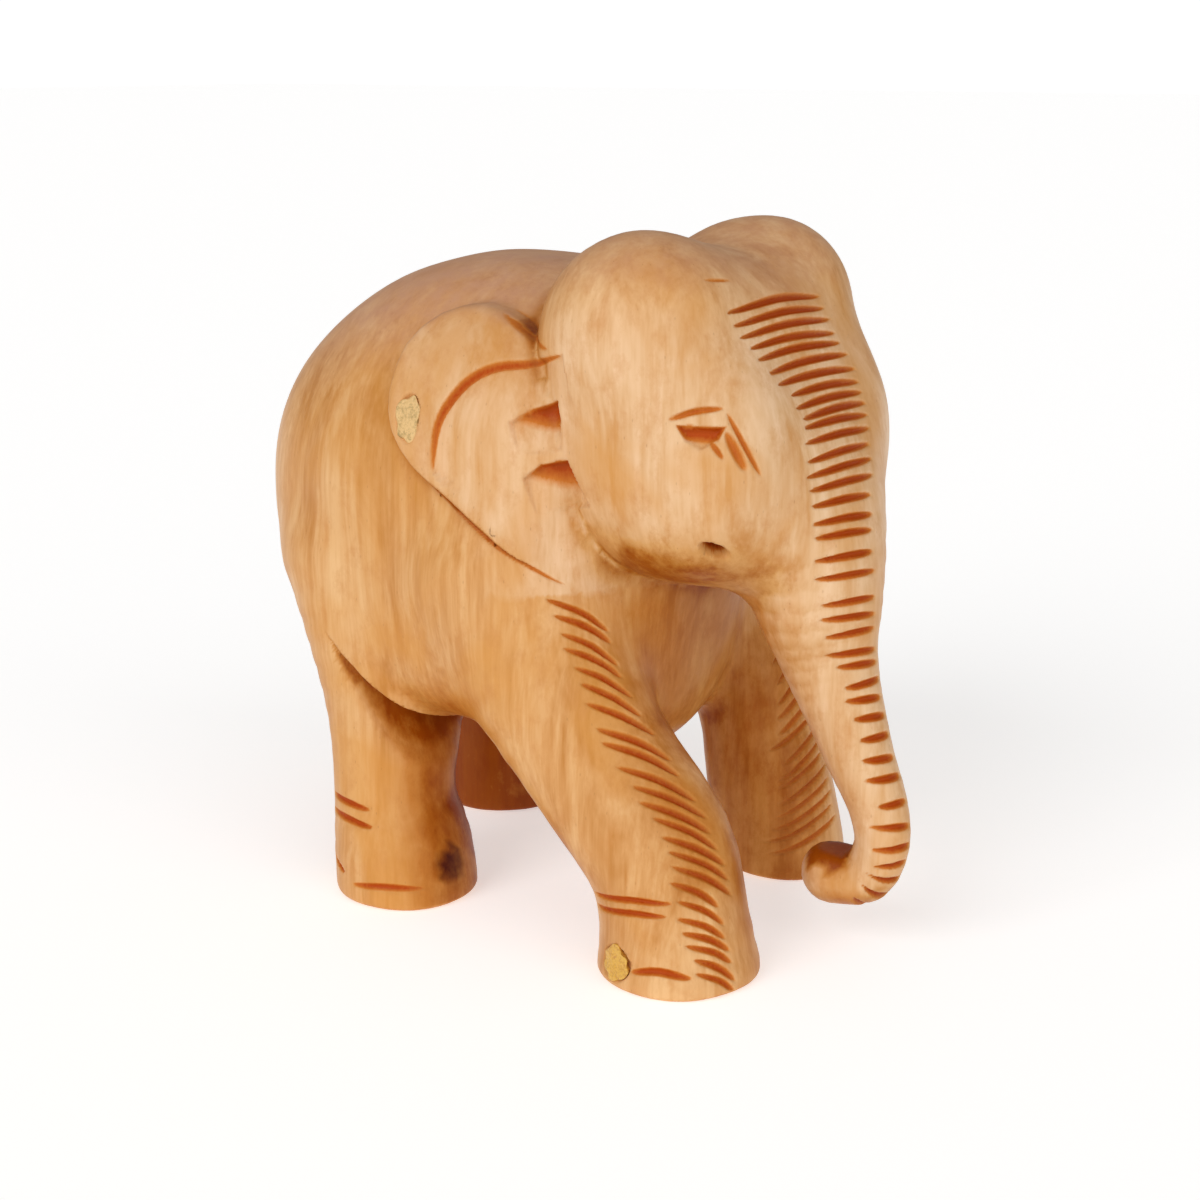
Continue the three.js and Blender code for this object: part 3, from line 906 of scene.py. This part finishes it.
def makeWood(name):
    # long streaks and fibres up the block, warm patches, painted shade and sheen on the tops, then
    # painted shade with some stain, cuts, the knot and pores
    material, tree, shader = nodesOf(name)
    place = node(tree, "ShaderNodeTexCoord").outputs["Object"]
    mm = stretched(tree, place, millimetres)
    # fibres run up the block, so every streak is long in z
    fibre = noise(tree, stretched(tree, mm, wood["fibre"]), 1.0, 4, 0.55)
    streak = noise(tree, stretched(tree, mm, wood["streak"]), 1.0, 4, 0.6, 0.8)
    patch = noise(tree, stretched(tree, mm, wood["patch"], (3, 7, 1)), 1.0, 3, 0.5, 0.8)
    mottle = noise(tree, stretched(tree, mm, wood["mottle"], (11, 2, 5)), 1.0, 6, 0.7)
    named = {name: node(tree, "ShaderNodeAttribute", attribute_name=name).outputs["Fac"]
             for name in ("painted_shade_and_stain", "pale", "top", "cut", "knot", "streak")}
    broad = noise(tree, stretched(tree, mm, wood["broad"], (5, 1, 8)), 1.0, 5, 0.65, 0.6)
    tone = maths(tree, "ADD", maths(tree, "MULTIPLY", streak, 0.5), maths(
        tree, "ADD", maths(tree, "MULTIPLY", fibre, 0.17), maths(tree, "MULTIPLY", broad, 0.33)))
    goldenWood = colourRamp(tree, tone, [(0.4, wood["warm"]), (0.5, wood["middle"]),
                                         (0.6, wood["pale"])])
    paleWood = colourRamp(tree, tone, [(0.39, wood["paleWarm"]), (0.5, wood["paleMiddle"]),
                                       (0.6, wood["paleLight"])])
    colour = mixed(tree, named["pale"], goldenWood, paleWood)
    colour = mixed(tree, maths(tree, "MULTIPLY", colourRamp(
        tree, patch, [(0.47, (0, 0, 0, 1)), (0.62, (1, 1, 1, 1))]), 0.55), colour,
        linear(*wood["honey"]))
    colour = mixed(tree, maths(tree, "MULTIPLY", colourRamp(
        tree, mottle, [(0.5, (0, 0, 0, 1)), (0.7, (1, 1, 1, 1))]), 0.5), colour,
        linear(*wood["rose"]))
    # painted shade and sheen: upward-facing tops turn darker and cooler in patches
    topShadeSheen = maths(tree, "MULTIPLY", named["top"], mottle)
    colour = mixed(tree, topShadeSheen, colour, linear(*wood["topShadeSheenColour"]))
    # painted shade where surfaces face each other, in hollows and on inner and under sides, with
    # some real stain and the knot's streak, darkens the wood
    shadeStainAmount = maths(tree, "MULTIPLY", named["painted_shade_and_stain"], maths(tree, "ADD", maths(
        tree, "MULTIPLY", mottle, 1.5), 0.3), clamp=True)
    risen = maths(tree, "MULTIPLY", named["streak"], maths(tree, "ADD", mottle, 0.3), clamp=True)
    shadeStainAmount = maths(tree, "MAXIMUM", shadeStainAmount, risen)
    colour = mixed(tree, 1.0, colour, colourRamp(tree, shadeStainAmount, wood["stain"]), mode="MULTIPLY")
    fineFibre = noise(tree, stretched(tree, mm, wood["fineFibre"], (2, 9, 4)), 1.0, 3, 0.6)
    soaked = maths(tree, "MULTIPLY", named["cut"], maths(tree, "ADD", maths(
        tree, "MULTIPLY", fineFibre, 0.7), 0.65), clamp=True)
    # cuts turn darker still where the painted shade and stain are strong
    colour = mixed(tree, colourRamp(tree, soaked, [(0.08, (0, 0, 0, 1)), (0.35, (1, 1, 1, 1))]),
                   colour, mixed(tree, maths(tree, "MULTIPLY", shadeStainAmount, 0.55), colourRamp(
                       tree, soaked, [(0.22, wood["cutEdge"]), (0.8, wood["cutFloor"])]),
                                 linear(*wood["cutShadeStainDark"])))
    colour = mixed(tree, maths(tree, "MULTIPLY", named["knot"], maths(
        tree, "ADD", mottle, 0.45), clamp=True), colour, linear(*wood["knot"]))
    pores = node(tree, "ShaderNodeTexVoronoi", {"Vector": stretched(
        tree, mm, wood["pores"]), "Scale": 1.0}).outputs["Distance"]
    speck = colourRamp(tree, pores, [(0.04, (1, 1, 1, 1)), (0.11, (0, 0, 0, 1))])
    colour = mixed(tree, maths(tree, "MULTIPLY", speck, 0.28), colour, linear(*wood["poreColour"]))
    tree.links.new(colour, shader.inputs["Base Color"])
    rough = maths(tree, "ADD", maths(tree, "MULTIPLY", mottle, 0.16), wood["roughness"] - 0.08)
    rough = maths(tree, "ADD", rough, maths(tree, "MULTIPLY", named["cut"], 0.15), clamp=True)
    tree.links.new(rough, shader.inputs["Roughness"])
    shader.inputs["Specular IOR Level"].default_value = wood["specular"]
    shader.inputs["Coat Weight"].default_value = wood["coat"]
    shader.inputs["Coat Roughness"].default_value = wood["coatRoughness"]
    relief = maths(tree, "ADD", maths(tree, "MULTIPLY", fibre, 0.5),
                   maths(tree, "MULTIPLY", fineFibre, 0.35))
    bump = node(tree, "ShaderNodeBump", {"Height": relief, "Strength": 0.25,
                                           "Distance": wood["bumpDistance"]})
    tree.links.new(bump.outputs["Normal"], shader.inputs["Normal"])
    return material


def makeFiller(name, pale, dark, roughness):
    # crumbly filler: cloudy noise between two colours, with darker crumbs
    material, tree, shader = nodesOf(name)
    place = node(tree, "ShaderNodeTexCoord").outputs["Object"]
    mm = stretched(tree, place, millimetres)
    grain = noise(tree, mm, 1.1, 6, 0.7, 0.5)
    crumbs = node(tree, "ShaderNodeTexVoronoi", {"Vector": mm, "Scale": 2.4}).outputs["Distance"]
    colour = colourRamp(tree, grain, [(0.34, dark), (0.5, pale)])
    colour = mixed(tree, maths(tree, "MULTIPLY", colourRamp(
        tree, crumbs, [(0.1, (1, 1, 1, 1)), (0.4, (0, 0, 0, 1))]), 0.35), colour, linear(*dark))
    tree.links.new(colour, shader.inputs["Base Color"])
    shader.inputs["Roughness"].default_value = roughness
    height = maths(tree, "ADD", grain, maths(tree, "MULTIPLY", crumbs, 0.5))
    bump = node(tree, "ShaderNodeBump", {"Height": height, "Strength": 0.5, "Distance": 0.0003})
    tree.links.new(bump.outputs["Normal"], shader.inputs["Normal"])
    return material


knotPlace = (-21.3, 7.8, 6.0)


def knotStain(p):
    # a dark knot low on the right hind leg, with a brown streak rising from it
    spot = p - np.array(knotPlace)
    away = np.linalg.norm(spot * (1, 1, 0.9), axis=1)
    away = away + 0.5 * np.sin(3 * p[:, 2]) * np.sin(2.3 * p[:, 0] + 2 * p[:, 1])
    knot = ramp(3.4, 1.4, away)
    beside = np.hypot(spot[:, 0] + 1.2, spot[:, 1] - 0.8) + 0.5 * np.sin(0.9 * p[:, 2])
    streak = ramp(4.5, 1.0, beside) * ramp(24, 12, spot[:, 2]) * ramp(-5, -1, spot[:, 2])
    return knot, np.maximum(streak, ramp(5, 2, away))


settledForm, carved, triangles, normals, stain, painted_shade_and_stain = makeBody()
pale, top = paleWoodAndTopShade(settledForm, normals)
toFrame, unitSize = placeInFrame(settledForm.min(0), settledForm.max(0))
body = makePiece("elephant_carving", toFrame(carved), triangles)
addAttribute(body.data, "cut", stain)
# painted shade on inner, under and facing sides and in hollows, with some stain at the trunk tip
# and right foreleg
addAttribute(body.data, "painted_shade_and_stain", painted_shade_and_stain)
addAttribute(body.data, "pale", pale)
# painted shade and sheen on upward-facing tops
addAttribute(body.data, "top", top)
knot, streak = knotStain(settledForm)
addAttribute(body.data, "knot", knot)
addAttribute(body.data, "streak", streak)
body.data.materials.append(makeWood("carved_wood_finish"))
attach(body, "root")
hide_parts("carved_body")
print("body", len(body.data.vertices), "vertices", len(triangles), "triangles")


def makePlug(name, plug):
    # a lump of filler: an ellipsoid grid whose radius wanders with slow waves
    rows, around = 24, 36
    lumps, seed = plug["lumps"], plug["wave"]
    u = np.linspace(0, math.pi, rows)[1:-1, None]
    v = np.linspace(0, 2 * math.pi, around, endpoint=False)[None]
    ball = np.stack([np.sin(u) * np.cos(v), np.sin(u) * np.sin(v), np.cos(u) + 0 * v], -1)
    ball = np.vstack([[(0, 0, 1)], ball.reshape(-1, 3), [(0, 0, -1)]])
    wave = (np.sin(3.1 * ball[:, 0] + seed) * np.sin(4.3 * ball[:, 1] + 2 * seed)
            + 0.6 * np.sin(6.7 * ball[:, 2] + 3.9 * ball[:, 1] + seed))
    swell = 1 - lumps + lumps * wave[:, None]
    points = ball * np.array(plug["radii"]) * swell + np.array(plug["centre"])
    # it was pressed in and trimmed, so it stands only a little above the wood
    for _ in range(3):
        d, way = sloped(points)
        over = np.maximum(d - 0.04 - 0.05 * wave, 0)
        points = points - unit(way) * over[:, None]
    ring = 1 + np.arange((rows - 2) * around).reshape(rows - 2, around)
    turned = np.roll(ring, -1, axis=1)
    quads = np.stack([ring[:-1], ring[1:], turned[1:], turned[:-1]], -1).reshape(-1, 4)
    faces = np.vstack([quads[:, [0, 1, 2]], quads[:, [0, 2, 3]]])
    top = np.column_stack([np.zeros(around, int), ring[0], turned[0]])
    end = len(points) - 1
    bottom = np.column_stack([np.full(around, end), turned[-1], ring[-1]])
    return makePiece(name, toFrame(points), np.vstack([faces, top, bottom]))


footLump = makePlug("foot_filler_lump", footPlug)
footLump.data.materials.append(makeFiller("foot_filler_finish", footPlug["pale"],
                                          footPlug["dark"], footPlug["roughness"]))
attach(footLump, "root")
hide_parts("foot_filler")
earLump = makePlug("ear_filler_lump", earPlug)
earLump.data.materials.append(makeFiller("ear_filler_finish", earPlug["pale"],
                                         earPlug["dark"], earPlug["roughness"]))
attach(earLump, "root")
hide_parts("ear_filler")
print("fillers made")


studio = {
    "floorSize": 12.0,
    "floorColour": 0.8,
    "floorGlow": 0.5,
    "floorGap": 0.00005,
    "cameraAzimuth": -54.2,
    "cameraRise": 15.3,
    "cameraDistance": 285,
    "cameraTarget": (-9.3, -11.4, 47),
    "lens": 60,
    "sensor": 36,
    # azimuth, rise, strength and apparent width of each light, in degrees
    "keyLight": (-95, 30, 1.3, 40),
    "frontLight": (-25, 25, 0.9, 60),
    "backdrop": 1.05,
    "surround": 0.3,
}


def makeFloor():
    # one pale square just under the soles
    half = studio["floorSize"] / 2
    z = cadLow.z - studio["floorGap"]
    floor = makePiece("studio_floor", [(-half, -half, z), (half, -half, z), (half, half, z),
                                       (-half, half, z)], [(0, 1, 2, 3)], smooth=False)
    material, tree, shader = nodesOf("studio_floor_finish")
    shade = studio["floorColour"]
    shader.inputs["Base Color"].default_value = (shade, shade, shade, 1)
    shader.inputs["Roughness"].default_value = 0.9
    shader.inputs["Specular IOR Level"].default_value = 0.1
    shader.inputs["Emission Color"].default_value = (1, 1, 1, 1)
    shader.inputs["Emission Strength"].default_value = studio["floorGlow"]
    floor.data.materials.append(material)


def outwards(azimuth, rise):
    # the direction from the figure at an azimuth from the front and a rise, in degrees
    a, e = math.radians(azimuth), math.radians(rise)
    return Vector((math.sin(a) * math.cos(e), -math.cos(a) * math.cos(e), math.sin(e)))


def addLight(name, azimuth, rise, strength, spread):
    # a far, broad light: the spread is its apparent width in degrees
    data = bpy.data.lights.new(name, "SUN")
    data.energy = strength
    data.angle = math.radians(spread)
    lamp = bpy.data.objects.new(name, data)
    back = outwards(azimuth, rise)
    lamp.location = back
    lamp.rotation_euler = (-back).to_track_quat("-Z", "Y").to_euler()
    bpy.context.scene.collection.objects.link(lamp)


def makeWorld():
    # plain white behind the figure, and a dimmer, warmer surround that lights it
    world = bpy.data.worlds.new("studio_surround")
    world.use_nodes = True
    tree = world.node_tree
    seen = tree.nodes["Background"]
    seen.inputs["Color"].default_value = (1, 1, 1, 1)
    seen.inputs["Strength"].default_value = studio["backdrop"]
    around = node(tree, "ShaderNodeBackground", {"Color": (1, 0.98, 0.96, 1),
                                                 "Strength": studio["surround"]})
    path = node(tree, "ShaderNodeLightPath")
    blend = node(tree, "ShaderNodeMixShader")
    tree.links.new(path.outputs["Is Camera Ray"], blend.inputs[0])
    tree.links.new(around.outputs[0], blend.inputs[1])
    tree.links.new(seen.outputs[0], blend.inputs[2])
    tree.links.new(blend.outputs[0], tree.nodes["World Output"].inputs["Surface"])
    bpy.context.scene.world = world


def makeCamera():
    data = bpy.data.cameras.new("studio_camera")
    data.lens = studio["lens"]
    data.sensor_width = studio["sensor"]
    data.clip_start, data.clip_end = 0.01, 20
    camera = bpy.data.objects.new("studio_camera", data)
    back = outwards(studio["cameraAzimuth"], studio["cameraRise"])
    target = Vector(toFrame(studio["cameraTarget"]))
    camera.location = target + back * studio["cameraDistance"] * unitSize
    camera.rotation_euler = (-back).to_track_quat("-Z", "Y").to_euler()
    bpy.context.scene.collection.objects.link(camera)
    bpy.context.scene.camera = camera


makeFloor()
makeWorld()
addLight("key_light", *studio["keyLight"])
addLight("front_light", *studio["frontLight"])
makeCamera()
bpy.context.scene.view_settings.view_transform = "Standard"
print("studio set")
